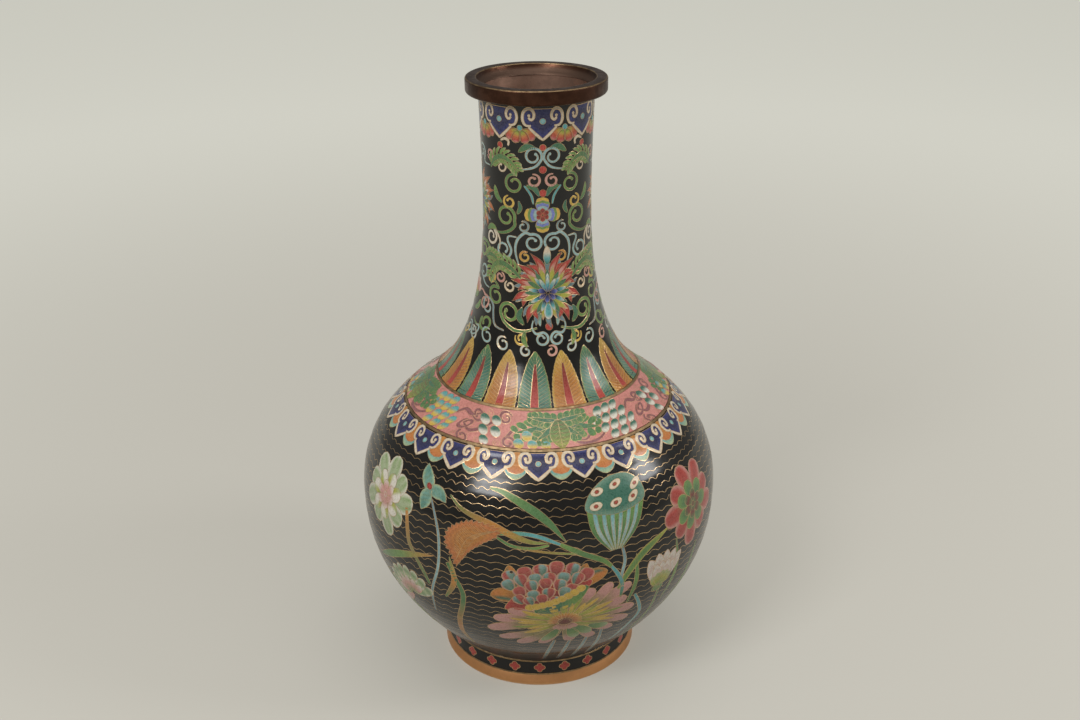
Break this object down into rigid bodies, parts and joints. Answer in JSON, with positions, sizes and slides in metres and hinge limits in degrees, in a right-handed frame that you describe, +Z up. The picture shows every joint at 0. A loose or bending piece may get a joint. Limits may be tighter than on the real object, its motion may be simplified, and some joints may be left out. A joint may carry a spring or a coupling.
{
  "type": "vase",
  "caption": "Enamelled copper bottle vase with a round belly, long neck, flanged mouth rim and ring foot, bands of leaves, grapes, lappets and lotus flowers.",
  "frame": {"origin": "centre of the ring that the vase stands on, at the table", "axes": "+Z up along the vase's own axis, from the foot to the mouth"},
  "size_m": [0.1816, 0.1816, 0.305],
  "materials": {
    "body_copper": "satin",
    "foot_copper": "satin",
    "rim_bronze": "satin",
    "gilt_wire": "polished",
    "black_enamel": "gloss",
    "pink_enamel": "gloss",
    "cell_enamel": "gloss",
    "base_enamel": "gloss"
  },
  "bodies": {
    "root": {"lower_bowl": "body_copper", "upper_bowl": "body_copper", "neck_tube": "body_copper", "foot_wall": "body_copper", "foot_rim": "foot_copper", "mouth_rim": "rim_bronze", "neck_enamel": "black_enamel", "grape_band_enamel": "pink_enamel", "belly_enamel": "black_enamel", "foot_enamel": "black_enamel", "base_enamel": "base_enamel", "mouth_wire": "gilt_wire", "leaf_base_wire": "gilt_wire", "grape_base_wire": "gilt_wire", "foot_top_wire": "gilt_wire", "foot_bottom_wire": "gilt_wire", "foot_flower_wires": "gilt_wire", "foot_flower_enamel": "cell_enamel"}
  },
  "joints": []
}
